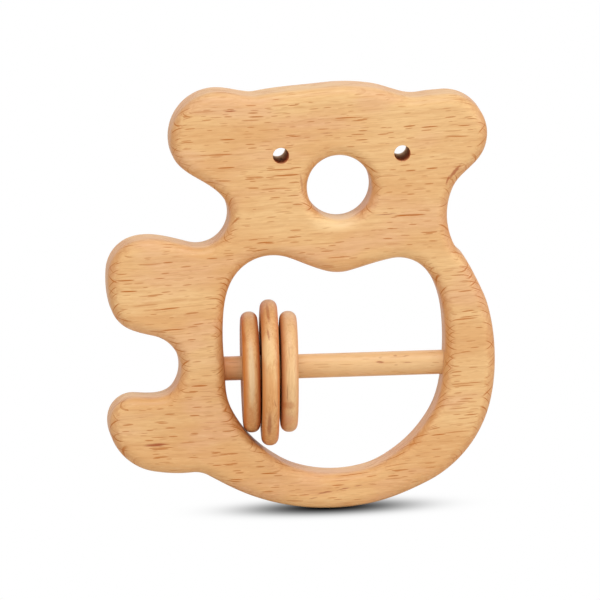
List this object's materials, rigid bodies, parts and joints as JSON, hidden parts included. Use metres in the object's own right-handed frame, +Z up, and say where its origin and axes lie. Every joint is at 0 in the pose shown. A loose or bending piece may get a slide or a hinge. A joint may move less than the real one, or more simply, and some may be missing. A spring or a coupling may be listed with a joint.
{
  "type": "wooden baby rattle",
  "caption": "Flat wooden koala-shaped baby rattle with rounded edges, an open belly crossed by a rod and loose turned rings that slide on it.",
  "frame": {"origin": "on the floor, below the middle of the whole toy's width and depth", "axes": "+Z up through the koala's head, -Y out of the face that the picture shows, +X to the viewer's right, along the cross rod and away from the arm and leg"},
  "size_m": [0.0961, 0.0362, 0.1054],
  "materials": {
    "board": "satin oiled beech",
    "rod": "satin oiled beech",
    "ring": "satin oiled beech"
  },
  "bodies": {
    "frame": {"koala_board": "board", "cross_rod": "rod"},
    "left_ring": {"ring_left": "ring"},
    "middle_ring": {"ring_middle": "ring"},
    "right_ring": {"ring_right": "ring"}
  },
  "joints": [
    {"name": "left_ring_slide", "type": "slide", "parent": "frame", "child": "left_ring", "axis": [1, 0, 0], "range_m": [0, 0.01]},
    {"name": "middle_ring_slide", "type": "slide", "parent": "left_ring", "child": "middle_ring", "axis": [1, 0, 0], "range_m": [0, 0.01]},
    {"name": "right_ring_slide", "type": "slide", "parent": "middle_ring", "child": "right_ring", "axis": [1, 0, 0], "range_m": [0, 0.01]}
  ]
}
